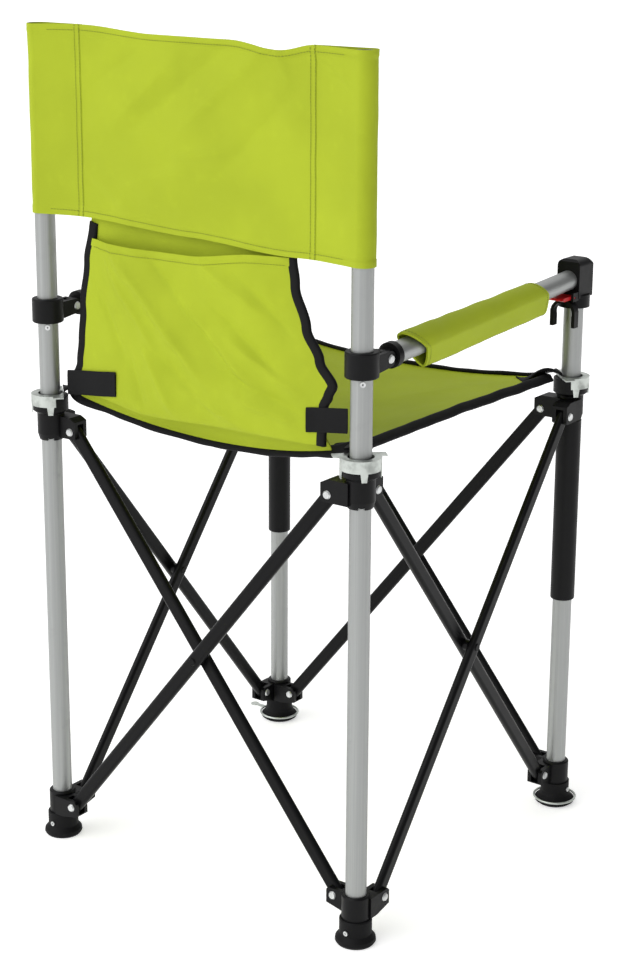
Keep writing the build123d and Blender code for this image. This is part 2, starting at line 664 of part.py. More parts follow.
        # the socket for the arm's tube
        with BuildSketch(arm_plane.offset(tube_end)):
            Circle(TUBE_RADIUS + SOCKET_FIT)
        extrude(amount=-60, mode=Mode.SUBTRACT)
        with BuildSketch(Plane(front_axis + UP * (FRONT_LEG_TOP + CAP_REST_GAP + 1))):
            Circle(TUBE_RADIUS - TUBE_WALL - 3)
        extrude(amount=-5, taper=20)
    write(arm_cap.part, f"{side_name}_arm_cap")

    with BuildPart() as latch_lever:
        lever_plane = Plane(
            front_axis + Vector(0, LEVER_PIN_BACK, LEVER_PIN_Z), x_dir=(0, 1, 0), z_dir=(1, 0, 0)
        )
        with BuildSketch(lever_plane):
            with BuildLine():
                Polyline(
                    (-5, 2.0),
                    (-5, -2.0),
                    (0, -LEVER_THICKNESS / 2 - 0.3),
                    (LEVER_LENGTH - 8, -LEVER_THICKNESS / 2 - 0.3),
                    (LEVER_LENGTH - 5, -LEVER_THICKNESS / 2 + 1.2),
                    (LEVER_LENGTH - 5, 1.2),
                    (LEVER_LENGTH - 9, 2.0),
                    close=True,
                )
            make_face()
        extrude(amount=LEVER_WIDTH / 2, both=True)
        fillet(latch_lever.edges().filter_by(Axis.X).sort_by(Axis.Y)[-2:], 1.0)
        with BuildSketch(lever_plane):
            Circle(LEVER_PIN_RADIUS)
        extrude(amount=LEVER_WIDTH / 2 + 3, both=True)
    write(latch_lever.part, f"{side_name}_latch_lever")

    # The pad: fabric wrapped round the tube and closed underneath, with a slit left open.
    with BuildPart() as arm_pad:
        with BuildSketch(arm_plane.offset(PAD_REAR)):
            with BuildLine():
                down = -1 if arm_plane.y_dir.Z > 0 else 1
                Polyline(
                    (-PAD_RADIUS, 0),
                    (-PAD_BOTTOM_RADIUS, down * PAD_DROP),
                    (PAD_BOTTOM_RADIUS, down * PAD_DROP),
                    (PAD_RADIUS, 0),
                )
                ThreePointArc((-PAD_RADIUS, 0), (0, -down * PAD_RADIUS), (PAD_RADIUS, 0))
            make_face()
            Circle(TUBE_RADIUS + FABRIC_GAP, mode=Mode.SUBTRACT)
            with Locations((0, down * PAD_DROP)):
                Rectangle(PAD_SLIT, 2 * (PAD_DROP - PAD_SLIT), mode=Mode.SUBTRACT)
        extrude(amount=PAD_LENGTH)
    write(arm_pad.part, f"{side_name}_arm_pad")

# ---------------------------------------------------------------- backrest
with BuildPart() as backrest:
    with BuildSketch(Plane.XY.offset(BACKREST_BOTTOM)):
        with Locations((0, HALF)):
            Rectangle(LEG_SPACING - 2 * TUBE_RADIUS - 2, BACKREST_SHEET)
        with Locations((-HALF, HALF), (HALF, HALF)):
            Circle(TUBE_RADIUS + FABRIC_GAP + TUBE_POCKET_WALL)
        with Locations((-HALF, HALF), (HALF, HALF)):
            Circle(TUBE_RADIUS + FABRIC_GAP, mode=Mode.SUBTRACT)
    extrude(amount=BACKREST_TOP - BACKREST_BOTTOM)
write(backrest.part, "backrest")

# ---------------------------------------------------------------- lower back panel and its pocket
PANEL_REAR_Y = HALF - BACKREST_SHEET / 2 - FABRIC_GAP
panel_plane = Plane((0, PANEL_REAR_Y, 0), x_dir=(-1, 0, 0), z_dir=(0, 1, 0))


def panel_half(z):
    """Half the panel's width at a height."""
    share = (z - PANEL_BOTTOM) / (PANEL_TOP - PANEL_BOTTOM)
    return PANEL_BOTTOM_HALF + share * (PANEL_TOP_HALF - PANEL_BOTTOM_HALF)


def add_trapezium(low, high, margin):
    with BuildLine() as outline:
        Polyline(
            (-panel_half(low) + margin, low),
            (panel_half(low) - margin, low),
            (panel_half(high) - margin, high),
            (-panel_half(high) + margin, high),
            close=True,
        )
    make_face(outline.edges())


with BuildPart() as back_panel:
    with BuildSketch(panel_plane):
        add_trapezium(PANEL_BOTTOM, PANEL_TOP, 0)
    extrude(amount=-PANEL_SHEET)
write(back_panel.part, "lower_back_panel")

with BuildPart() as back_pocket:
    pocket_plane = panel_plane.offset(FABRIC_GAP)
    with BuildSketch(pocket_plane):
        add_trapezium(PANEL_BOTTOM, POCKET_TOP, POCKET_MARGIN)
    extrude(amount=POCKET_DEPTH + PANEL_SHEET)
    with BuildSketch(pocket_plane):
        add_trapezium(PANEL_BOTTOM + PANEL_SHEET, POCKET_TOP + 10, POCKET_MARGIN + PANEL_SHEET)
    extrude(amount=POCKET_DEPTH, mode=Mode.SUBTRACT)
write(back_pocket.part, "back_pocket")

# ---------------------------------------------------------------- seat, in two halves
for side_name, across in (("right", -1), ("left", 1)):
    edge = HALF - SEAT_EDGE_GAP
    with BuildPart() as seat_half:
        with BuildSketch(Plane((0, HALF, 0), x_dir=(-1, 0, 0), z_dir=(0, 1, 0))):
            with BuildLine():
                Polyline(
                    (-across * edge, SEAT_EDGE_Z),
                    (-across * edge, SEAT_EDGE_Z + SEAT_SHEET),
                    (-across * 0.2, SEAT_MIDDLE_Z + SEAT_SHEET),
                    (-across * 0.2, SEAT_MIDDLE_Z),
                    close=True,
                )
            make_face()
        extrude(amount=-LEG_SPACING)
        with BuildSketch(Plane.XY.offset(SEAT_MIDDLE_Z - 10)):
            with BuildLine():
                Polyline(
                    (0, edge),
                    (across * (edge - SEAT_CORNER), edge),
                    (across * edge, edge - SEAT_CORNER),
                    (across * edge, -edge + SEAT_CORNER),
                    (across * (edge - SEAT_CORNER), -edge),
                    (0, -edge),
                    close=True,
                )
            make_face()
        extrude(amount=SEAT_EDGE_Z, mode=Mode.INTERSECT)
    write(seat_half.part, f"seat_{side_name}_half")
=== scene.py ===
"""Folding camp chair: fabric, stitching, webbing, finishes, floor, lights and camera."""

import json
import math

import bmesh
import bpy
from bpy.props import FloatProperty, FloatVectorProperty, PointerProperty
from mathutils import Matrix, Vector, noise


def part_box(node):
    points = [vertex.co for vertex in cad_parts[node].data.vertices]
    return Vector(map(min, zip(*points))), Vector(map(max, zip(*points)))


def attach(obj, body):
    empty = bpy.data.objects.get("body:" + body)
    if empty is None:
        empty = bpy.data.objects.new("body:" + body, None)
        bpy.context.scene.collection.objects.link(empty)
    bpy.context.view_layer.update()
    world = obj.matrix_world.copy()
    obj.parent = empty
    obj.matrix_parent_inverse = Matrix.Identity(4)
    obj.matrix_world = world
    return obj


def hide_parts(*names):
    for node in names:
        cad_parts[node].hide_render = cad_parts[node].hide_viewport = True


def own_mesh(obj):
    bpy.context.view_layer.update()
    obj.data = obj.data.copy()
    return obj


bl_info = {
    "name": "Folding camp chair",
    "version": (1, 0, 0),
    "blender": (4, 5, 0),
    "location": "View3D > Sidebar > Camp chair",
    "description": "Dresses a folding camp chair's frame in fabric and gives it its finishes",
    "category": "Add Mesh",
}

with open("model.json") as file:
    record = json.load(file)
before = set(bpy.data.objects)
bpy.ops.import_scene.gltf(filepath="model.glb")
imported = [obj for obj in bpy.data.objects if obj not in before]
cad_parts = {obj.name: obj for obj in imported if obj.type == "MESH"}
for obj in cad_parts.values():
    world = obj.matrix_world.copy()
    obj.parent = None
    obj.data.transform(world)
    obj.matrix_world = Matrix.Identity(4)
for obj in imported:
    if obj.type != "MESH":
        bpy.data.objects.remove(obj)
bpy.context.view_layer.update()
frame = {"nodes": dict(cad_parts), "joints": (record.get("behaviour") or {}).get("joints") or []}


def middle(node):
    low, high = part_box(node)
    return (low + high) / 2


RIGHT_BACK = middle("back_right_leg_tube")
LEFT_BACK = middle("back_left_leg_tube")
MID_X = (RIGHT_BACK.x + LEFT_BACK.x) / 2
BACK_Y = RIGHT_BACK.y
HALF = (LEFT_BACK.x - RIGHT_BACK.x) / 2
MM = 0.001
TUBE = 12.5 * MM


# ---------------------------------------------------------------- sizes and colours
class ChairFabric(bpy.types.PropertyGroup):
    """The cloth, its bindings and how it hangs"""

    lime: FloatVectorProperty(
        name="Lime", description="Colour of the cloth", subtype="COLOR", size=3, min=0, max=1,
        default=(0.372, 0.450, 0.025),
    )
    webbing: FloatVectorProperty(
        name="Webbing", description="Colour of the bindings and straps", subtype="COLOR", size=3,
        min=0, max=1, default=(0.004, 0.004, 0.0045),
    )
    cloth: FloatProperty(
        name="Cloth", description="Thickness of the cloth", default=1.1 * MM, subtype="DISTANCE"
    )
    hem: FloatProperty(name="Hem", description="Depth of a turned hem", default=8 * MM, subtype="DISTANCE")
    stitch: FloatProperty(
        name="Stitch", description="Length of one stitch", default=3.0 * MM, subtype="DISTANCE"
    )
    binding: FloatProperty(
        name="Binding", description="Width of the edge binding", default=13 * MM, subtype="DISTANCE"
    )
    seat_sag: FloatProperty(
        name="Seat sag", description="How far the seat's middle hangs", default=32 * MM, subtype="DISTANCE"
    )
    pocket: FloatProperty(
        name="Pocket bulge", description="How far the back pocket stands out", default=15 * MM,
        subtype="DISTANCE",
    )


class ChairFinish(bpy.types.PropertyGroup):
    """Colours of the frame's parts"""

    tube: FloatVectorProperty(
        name="Tube", description="Colour of the anodised tube", subtype="COLOR", size=3, min=0, max=1,
        default=(0.36, 0.37, 0.365),
    )
    black: FloatVectorProperty(
        name="Black", description="Colour of the moulded parts", subtype="COLOR", size=3, min=0, max=1,
        default=(0.0035, 0.0035, 0.004),
    )
    lever: FloatVectorProperty(
        name="Lever", description="Colour of the latch levers", subtype="COLOR", size=3, min=0, max=1,
        default=(0.45, 0.008, 0.010),
    )


class ChairView(bpy.types.PropertyGroup):
    """Light in the room"""

    light: FloatProperty(name="Light", description="Strength of the room's even light", default=0.25, min=0)


# ---------------------------------------------------------------- materials
FINISHES = {}


class Sock:
    """A shader socket that takes part in sums."""

    def __init__(self, nodes, socket):
        self.nodes, self.socket = nodes, socket

    def _math(self, operation, *values):
        return self.nodes.add("ShaderNodeMath", {"operation": operation}, dict(enumerate(values)))

    def __add__(self, other):
        return self._math("ADD", self, other)

    def __radd__(self, other):
        return self._math("ADD", other, self)

    def __sub__(self, other):
        return self._math("SUBTRACT", self, other)

    def __rsub__(self, other):
        return self._math("SUBTRACT", other, self)

    def __mul__(self, other):
        return self._math("MULTIPLY", self, other)

    def __rmul__(self, other):
        return self._math("MULTIPLY", other, self)

    def sine(self):
        return self._math("SINE", self)

    def step(self, low, high):
        return self.nodes.add(
            "ShaderNodeMapRange", {"interpolation_type": "SMOOTHSTEP"},
            {"Value": self, "From Min": low, "From Max": high},
        )


class Nodes:
    """The node tree of one material."""

    def __init__(self, name):
        self.material = bpy.data.materials.new(name)
        self.material.use_nodes = True
        self.tree = self.material.node_tree
        self.shader = self.tree.nodes["Principled BSDF"]
        self.place = self.add("ShaderNodeTexCoord", {}, {}, "Object")

    def add(self, kind, settings, inputs, output=0):
        node = self.tree.nodes.new(kind)
        for key, value in settings.items():
            setattr(node, key, value)
        for key, value in inputs.items():
            if isinstance(value, Sock):
                self.tree.links.new(value.socket, node.inputs[key])
            else:
                node.inputs[key].default_value = value
        return Sock(self, node.outputs[output])

    def scaled(self, scale):
        return self.add("ShaderNodeMapping", {}, {"Vector": self.place, "Scale": scale})

    def noise(self, scale, detail=3.0, stretch=(1, 1, 1), roughness=0.5):
        return self.add(
            "ShaderNodeTexNoise", {},
            {"Vector": self.scaled(stretch), "Scale": scale, "Detail": detail, "Roughness": roughness},
        )

    def axis(self, letter):
        return self.add("ShaderNodeSeparateXYZ", {}, {0: self.place}, letter)

    def mix(self, factor, a, b):
        return self.add("ShaderNodeMix", {"data_type": "RGBA"}, {0: factor, 6: a, 7: b}, 2)

    def bump(self, height, distance, strength=1.0):
        return self.add("ShaderNodeBump", {}, {"Height": height, "Distance": distance, "Strength": strength})

    def finish(self, **inputs):
        for name, value in inputs.items():
            socket = self.shader.inputs[name.replace("_", " ")]
            if isinstance(value, Sock):
                self.tree.links.new(value.socket, socket)
            else:
                socket.default_value = value
        return self.material


def shade(colour, factor):
    return (colour[0] * factor, colour[1] * factor, colour[2] * factor, 1)


def cloth_finish(name, colour, threads_x="X", threads_z="Z", pitch=0.55 * MM):
    """Plain-woven polyester: two sets of threads, slightly uneven, with painted shade in the weave's hollows
    and a soft dye variation.
    """
    n = Nodes(name)
    turn = 2 * math.pi / pitch
    warp = (n.axis(threads_x) * turn).sine()
    weft = (n.axis(threads_z) * turn).sine()
    weave = warp * weft
    slub = n.noise(900, 2, (1, 1, 0.12)) + n.noise(900, 2, (0.12, 0.12, 1))
    clouds = n.noise(9, 4).step(0.3, 0.7)
    base = n.mix(clouds, shade(colour, 0.94), shade(colour, 1.05))
    # painted shade: where the weave is lowest in the bump below, its hollows are darkened to 0.84 of the
    # colour
    base = n.mix(weave.step(-1.0, -0.2), shade(colour, 0.84), base)
    wear = n.noise(60, 5).step(0.55, 0.8)
    base = n.mix(wear * 0.25, base, shade(colour, 1.18))
    return n.finish(
        Base_Color=base,
        Roughness=n.noise(40, 3) * 0.16 + 0.56,
        Normal=n.bump(weave * 0.5 + slub * 0.5, 0.09 * MM, 0.5),
        Specular_IOR_Level=0.1,
    )


def webbing_finish(name, colour, along="Z"):
    """Black polypropylene tape with fine cross ribs."""
    n = Nodes(name)
    ribs = (n.axis(along) * (2 * math.pi / (1.4 * MM))).sine()
    fuzz = n.noise(1500, 3)
    return n.finish(
        Base_Color=n.mix(fuzz.step(0.35, 0.75), shade(colour, 0.8), shade(colour, 1.8)),
        Roughness=fuzz * 0.2 + 0.55,
        Normal=n.bump(ribs * 0.6 + fuzz, 0.12 * MM, 0.6),
        Specular_IOR_Level=0.15,
    )


def thread_finish(name, colour):
    n = Nodes(name)
    return n.finish(
        Base_Color=n.mix(n.noise(2500, 2), shade(colour, 0.75), shade(colour, 1.05)), Roughness=0.6
    )


def tube_finish(name, colour, stretch):
    """Drawn, satin-anodised aluminium: fine die lines along the tube and a few handling marks."""
    n = Nodes(name)
    lines = n.noise(1600, 3, stretch, 0.65)
    bands = n.noise(260, 2, stretch)
    marks = n.noise(35, 6).step(0.60, 0.74)
    base = n.mix(bands.step(0.3, 0.7), shade(colour, 0.90), shade(colour, 1.06))
    base = n.mix(lines.step(0.35, 0.65), base, shade(colour, 0.93))
    return n.finish(
        Base_Color=n.mix(marks * 0.3, base, shade(colour, 0.75)),
        Metallic=0.8,
        Roughness=lines * 0.16 + marks * 0.08 + 0.36,
        Normal=n.bump(lines, 0.03 * MM, 0.35),
    )


def paint_finish(name, colour):
    """Semi-gloss black powder coat with a fine orange peel and rubbed places."""
    n = Nodes(name)
    peel = n.noise(900, 2)
    rub = n.noise(45, 6).step(0.62, 0.8)
    return n.finish(
        Base_Color=n.mix(rub * 0.5, shade(colour, 1.0), shade(colour, 3.5)),
        Roughness=n.noise(70, 3) * 0.14 + rub * 0.15 + 0.24,
        Specular_IOR_Level=0.12,
        Normal=n.bump(peel, 0.05 * MM, 0.35),
    )


def moulded_finish(name, colour, gloss=0.36, grain=700):
    """Moulded plastic: spark-eroded grain, a little sheen and patches of dust."""
    n = Nodes(name)
    pits = n.add("ShaderNodeTexVoronoi", {}, {"Vector": n.place, "Scale": grain})
    dust = n.noise(55, 5).step(0.5, 0.85)
    return n.finish(
        Base_Color=n.mix(dust * 0.35, shade(colour, 1.0), shade(colour, 2.6)),
        Roughness=n.noise(90, 3) * 0.14 + dust * 0.12 + gloss,
        Specular_IOR_Level=0.16,
        Normal=n.bump(pits + n.noise(200, 3), 0.04 * MM, 0.4),
    )


def zinc_finish(name, colour, spangle=160, rough=0.28):
    """Zinc-plated steel: faint spangle, brighter where it is rubbed."""
    n = Nodes(name)
    flakes = n.add("ShaderNodeTexVoronoi", {}, {"Vector": n.place, "Scale": spangle}, "Color")
    level = n.add("ShaderNodeSeparateColor", {}, {0: flakes}, 0)
    dull = n.noise(80, 5).step(0.4, 0.7)
    return n.finish(
        Base_Color=n.mix(dull, shade(colour, 1.05), shade(colour, 0.72)),
        Metallic=1.0,
        Roughness=level * 0.12 + dull * 0.16 + rough,
        Normal=n.bump(n.noise(500, 3) + level * 0.4, 0.03 * MM, 0.4),
    )


# ---------------------------------------------------------------- tools for making pieces
def lone(piece):
    bpy.ops.object.select_all(action="DESELECT")
    piece.select_set(True)
    bpy.context.view_layer.objects.active = piece


def apply(piece, kind, **settings):
    lone(piece)
    modifier = piece.modifiers.new(kind.title(), kind)
    for key, value in settings.items():
        setattr(modifier, key, value)
    bpy.ops.object.modifier_apply(modifier=modifier.name)


def cloth_sheet(name, across, along, shape, closed=False):
    """A grid whose rows and columns lie at the given shares, moved to shape(u, v).

    A closed one is wrapped round on itself, and its meeting edges are joined."""
    columns, rows = len(across) - 1, len(along) - 1
    bpy.ops.object.select_all(action="DESELECT")
    bpy.ops.mesh.primitive_grid_add(x_subdivisions=columns, y_subdivisions=rows, size=1)
    piece = bpy.context.object
    piece.name = piece.data.name = name
    for vertex in piece.data.vertices:
        u = across[round((vertex.co.x + 0.5) * columns)]
        v = along[round((vertex.co.y + 0.5) * rows)]
        vertex.co = shape(u, v)
    if closed:
        lone(piece)
        bpy.ops.object.mode_set(mode="EDIT")
        bpy.ops.mesh.select_all(action="SELECT")
        bpy.ops.mesh.remove_doubles(threshold=1e-5)
        bpy.ops.mesh.normals_make_consistent(inside=False)
        bpy.ops.object.mode_set(mode="OBJECT")
    return piece


def even(count):
    """Shares from 0 to 1 in equal steps."""
    return [i / count for i in range(count + 1)]


def smooth(piece):
    lone(piece)
    bpy.ops.object.shade_smooth_by_angle(angle=math.radians(50))


def thicken(piece, thickness, offset=0.0):
    apply(piece, "SOLIDIFY", thickness=thickness, offset=offset, use_even_offset=False)


def dress(piece, material, body, slot, *replaced):
    piece.data.materials.clear()
    piece.data.materials.append(material)
    smooth(piece)
    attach(piece, body)
    if replaced:
        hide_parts(*replaced)
    return piece


def tape(name, path, sides, thickness, bulge=0.25):
    """A flat band: path holds its middle line, sides the half-width vector at each point."""
    section = 10

    def shape(u, v):
        index = min(round(v * (len(path) - 1)), len(path) - 1)
        ahead = path[min(index + 1, len(path) - 1)] - path[max(index - 1, 0)]
        side = sides[index]
        normal = ahead.cross(side).normalized()
        turn = 2 * math.pi * u
        across, up = math.cos(turn), math.sin(turn)
        across = math.copysign(abs(across) ** 0.45, across)
        up = math.copysign(abs(up) ** 0.6, up) * (1 - bulge * across * across)
        return path[index] + side * across + normal * (up * thickness / 2)

    piece = cloth_sheet(name, even(section), even(len(path) - 1), shape, closed=True)
    lone(piece)
    bpy.ops.object.mode_set(mode="EDIT")
    bpy.ops.mesh.select_all(action="SELECT")
    bpy.ops.mesh.fill_holes(sides=section + 2)
    bpy.ops.mesh.normals_make_consistent(inside=False)
    bpy.ops.object.mode_set(mode="OBJECT")
    return piece


# sections of one stitch: share of its length, half its width and its height in millimetres
STITCH_SHAPE = ((-0.5, 0.12, -0.25), (-0.32, 0.28, 0.25), (0.32, 0.28, 0.25), (0.5, 0.12, -0.25))


def stitches(name, lines, length, lift=0.15 * MM):
    """Rows of thread. Each line is a list of (point, normal)."""
    mesh = bpy.data.meshes.new(name)
    piece = bpy.data.objects.new(name, mesh)
    bpy.context.scene.collection.objects.link(piece)
    made = bmesh.new()
    pitch = length * 1.35
    for line in lines:
        walked, due = 0.0, pitch / 2
        for (a, normal_a), (b, normal_b) in zip(line, line[1:]):
            step = (b - a).length
            while step > 0 and due <= walked + step:
                share = (due - walked) / step
                point = a.lerp(b, share)
                normal = normal_a.lerp(normal_b, share).normalized()
                ahead = (b - a).normalized()
                side = normal.cross(ahead)
                rows = []
                for along, width, height in STITCH_SHAPE:
                    centre = point + ahead * (along * length) + normal * (lift + height * MM)
                    rows.append([
                        made.verts.new(centre - side * (width * MM)),
                        made.verts.new(centre + normal * (0.22 * MM)),
                        made.verts.new(centre + side * (width * MM)),
                        made.verts.new(centre - normal * (0.25 * MM)),
                    ])
                for low, high in zip(rows, rows[1:]):
                    for i in range(4):
                        made.faces.new((low[i], low[(i + 1) % 4], high[(i + 1) % 4], high[i]))
                made.faces.new(rows[0][::-1])
                made.faces.new(rows[-1])
                due += pitch
            walked += step
    bmesh.ops.recalc_face_normals(made, faces=made.faces)
    made.to_mesh(mesh)
    made.free()
    return piece


def interpolate(x, table):
    """A smooth curve through (x, y) pairs in rising x."""
    if x <= table[0][0]:
        return table[0][1]
    for (x0, y0), (x1, y1) in zip(table, table[1:]):
        if x <= x1:
            t = (x - x0) / (x1 - x0)
            return y0 + (y1 - y0) * t * t * (3 - 2 * t)
    return table[-1][1]


def ripple(x, z, size, seed):
    return noise.noise(Vector((x / size, z / size, seed)))


def crease(x, z, x0, z0, angle, length, width):
    """A soft fold: 1 on its ridge, fading along its length and across its width."""
    c, s = math.cos(math.radians(angle)), math.sin(math.radians(angle))
    along = (x - x0) * c + (z - z0) * s
    over = -(x - x0) * s + (z - z0) * c
    return math.exp(-math.sqrt((over / width) ** 2 + 0.02)) * math.exp(-((along / length) ** 4))


# ---------------------------------------------------------------- backrest
SLEEVE_RADIUS = 13.8 * MM
SLEEVE_REACH = 20 * MM  # how far the part round a tube reaches inwards before the panel starts
SEAM_RIGHT, SEAM_LEFT = 66 * MM, 62 * MM  # from a leg's axis to its sleeve's seam
SEAM_WIDTH = 9 * MM
BACK_HEIGHT = 0.229  # finished
FOLD_DEPTH = 1.3
BACK_TOP = [(-0.262, 1.0405), (-0.241, 1.0415), (-0.17, 1.0425), (-0.125, 1.0350), (-0.055, 1.0425),
            (0.055, 1.0430), (0.164, 1.0490), (0.262, 1.0475)]
BACK_BOTTOM = [(-0.262, 0.8105), (-0.173, 0.8100), (-0.13, 0.8095), (0.0, 0.8165), (0.168, 0.8235),
               (0.262, 0.8225)]
# folds of the backrest: place across and up, angle, length, width, height in millimetres
BACK_FOLDS = (
    (-0.050, 0.990, -38, 0.090, 0.012, 5.5), (0.020, 0.985, -36, 0.090, 0.014, -4.5),
    (0.085, 0.965, -40, 0.080, 0.013, 5.0), (0.120, 1.000, -30, 0.050, 0.012, -3.5),
    (-0.100, 0.950, -42, 0.070, 0.014, -4.0), (-0.020, 0.915, -12, 0.045, 0.007, 3.0),
    (-0.127, 1.020, 70, 0.025, 0.010, 4.0), (0.060, 0.880, -15, 0.060, 0.012, 3.0),
    (-0.080, 0.880, 10, 0.060, 0.012, -3.0), (0.130, 0.860, 30, 0.035, 0.009, 2.5),
)


def half_depth(inward, seam):
    """Half the sleeve's depth at a distance inwards from its tube."""
    if inward <= 0:
        return math.sqrt(max(SLEEVE_RADIUS**2 - inward**2, 0))
    if inward >= seam:
        return 0.6 * MM
    t = inward / seam
    return 0.6 * MM + (SLEEVE_RADIUS - 0.6 * MM) * (1 - t) ** 1.1 * (1 - 0.25 * t)


def back_folds(x, z):
    """How far the backrest's cloth stands behind the legs' plane at x from its middle."""
    inside = max(0.0, 1 - (abs(x) / 0.175) ** 4)
    top = (z - 0.93) / 0.115
    folds = sum(height * crease(x, z, x0, z0, *rest) for x0, z0, *rest, height in BACK_FOLDS)
    folds *= FOLD_DEPTH
    broad = 4.0 * (1 - (x / 0.19) ** 2) * (1 - 0.5 * top * top)
    wrinkles = 1.2 * ripple(x, z, 0.06, 3.1) + 0.5 * ripple(x, z, 0.02, 7.7)
    return (folds + broad + wrinkles) * MM * inside


def hem_height(z, low, high, hem):
    """The turned hem's extra thickness."""
    edge = min(z - low, high - z)
    return 0.55 * MM if edge < hem - 0.1 * MM else 0.0


def back_point(x, share, side, extra=0.0, hem=0.0):
    """A point of the backrest, at x from the chair's middle and a share of its height.

    side is 1 for its rear face and -1 for its front one."""
    low, high = interpolate(x, BACK_BOTTOM), interpolate(x, BACK_TOP)
    z = low + (high - low) * share
    seam = SEAM_RIGHT if x < 0 else SEAM_LEFT
    inward = HALF - abs(x)
    depth = half_depth(inward, seam)
    y = back_folds(x, z) + side * (depth + extra)
    if hem:
        y += side * hem_height(z, low, high, hem)
    fade = min(1, max(0, inward) / 0.03)
    pinch = 1.5 * MM * ripple(x, z, 0.03, 1.3) * fade
    if x < -0.15:
        # two small tucks at the top of the right sleeve
        y += 3.0 * MM * fade * crease(x, z, -0.20, 1.022, 28, 0.035, 0.005)
        y -= 2.5 * MM * fade * crease(x, z, -0.20, 1.010, 30, 0.030, 0.006)
    return Vector((MID_X + x, BACK_Y + y + pinch * 0.5, z))


def hem_rows(height, hem, count):
    """Rows of a sheet with a turned hem at its top and foot."""
    edge = hem / height
    inner = [edge + (1 - 2 * edge) * i / count for i in range(count + 1)]
    return [0, edge * 0.5, edge * 0.93] + inner + [1 - edge * 0.93, 1 - edge * 0.5, 1]


class CHAIR_OT_backrest(bpy.types.Operator):
    """Makes the backrest: sleeves round both back legs and the panel between them"""

    bl_idname = "chair.backrest"
    bl_label = "Backrest"

    def execute(self, context):
        cloth, finish = context.scene.chair_fabric, FINISHES["lime"]
        rows = hem_rows(BACK_HEIGHT, cloth.hem, 56)
        for side_name, sign in (("right", -1), ("left", 1)):
            def sleeve(u, share, sign=sign):
                # round the tube from the front to the rear, at its reach from the axis
                if u < 0.25:
                    x, side = HALF - SLEEVE_REACH * (1 - u / 0.25), -1
                elif u > 0.75:
                    x, side = HALF - SLEEVE_REACH * ((u - 0.75) / 0.25), 1
                else:
                    turn = (u - 0.5) * 2 * math.pi
                    low = interpolate(sign * HALF, BACK_BOTTOM)
                    high = interpolate(sign * HALF, BACK_TOP)
                    z = low + (high - low) * share
                    radius = SLEEVE_RADIUS + hem_height(z, low, high, cloth.hem)
                    radius += 0.5 * MM * ripple(turn / 30, z, 0.03, 5.0)
                    return Vector((
                        MID_X + sign * (HALF + radius * math.cos(turn)), BACK_Y + radius * math.sin(turn), z
                    ))
                return back_point(sign * x, share, side, hem=cloth.hem)

            piece = cloth_sheet(f"backrest_sleeve_{side_name}", even(40), rows, sleeve)
            thicken(piece, cloth.cloth, 0)
            dress(piece, finish, f"back_{side_name}_leg", "fabric")

        edge = HALF - SLEEVE_REACH

        def panel(u, share):
            return back_point(-edge + 2 * edge * u, share, 1, hem=cloth.hem)

        piece = cloth_sheet("backrest_panel", even(110), rows, panel)
        thicken(piece, cloth.cloth, 0)
        dress(piece, finish, "back_right_leg", "fabric", "backrest")
        flattened = [piece]
        for side_name, sign, seam in (("right", -1, SEAM_RIGHT), ("left", 1, SEAM_LEFT)):
            width = seam + 5 * MM - SLEEVE_REACH

            def flap(u, share, sign=sign, width=width):
                x = sign * (edge - width * u)
                return back_point(x, share, -1, extra=0.3 * MM, hem=cloth.hem)

            piece = cloth_sheet(f"backrest_flap_{side_name}", even(24), rows, flap)
            thicken(piece, cloth.cloth, 0)
            dress(piece, finish, "back_right_leg", "fabric")
            flattened.append(piece)

            # the doubled strip of the seam, standing a little proud behind
            def strip(u, share, sign=sign, seam=seam):
                x = sign * (HALF - seam + (u - 0.5) * SEAM_WIDTH)
                lift = 0.9 * MM if 0.1 < u < 0.9 else 0.1 * MM
                return back_point(x, share, 1, extra=lift, hem=cloth.hem)

            columns = [0, 0.09, 0.12, 0.5, 0.88, 0.91, 1]
            piece = cloth_sheet(f"backrest_seam_{side_name}", columns, rows, strip)
            thicken(piece, 0.5 * MM, 0)
            dress(piece, finish, "back_right_leg", "fabric")
            flattened.append(piece)

        shares = even(120)
        lines = []
        for sign, seam in ((-1, SEAM_RIGHT), (1, SEAM_LEFT)):
            for shift in (-3.2 * MM, 3.2 * MM):
                x = sign * (HALF - seam) + shift
                for side, extra in ((1, 1.45 * MM), (-1, 0.95 * MM)):
                    lines.append([
                        (back_point(x, s, side, extra=extra, hem=cloth.hem), Vector((0, side, 0)))
                        for s in shares
                    ])
        hem_share = (cloth.hem - 1.2 * MM) / BACK_HEIGHT
        for share in (hem_share, 1 - hem_share):
            across = [-edge + 2 * edge * t for t in even(160)]
            lines.append([
                (back_point(x, share, 1, extra=0.6 * MM, hem=cloth.hem), Vector((0, 1, 0))) for x in across
            ])
        piece = stitches("backrest_stitching", lines, cloth.stitch)
        dress(piece, FINISHES["lime thread"], "back_right_leg", "fabric")
        flattened.append(piece)
        keep = (folded_spacing() - 2 * SLEEVE_REACH) / (2 * edge)
        for piece in flattened:
            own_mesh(piece)
        return {"FINISHED"}


def folded_spacing():
    """Between the leg axes when the frame is closed."""
    fold = next(j for j in frame["joints"] if j["name"] == "fold")
    low = Vector(fold["pos_m"])
    cross = Vector(next(j for j in frame["joints"] if j["name"] == "right_cross")["pos_m"])
    inset = BACK_Y - low.y
    reach, rise = 2 * (low.y - cross.y), 2 * (cross.z - low.z)
    angle = math.atan2(rise, reach) + math.radians(fold["range_deg"][1])
    return 2 * inset + math.hypot(reach, rise) * math.cos(angle)


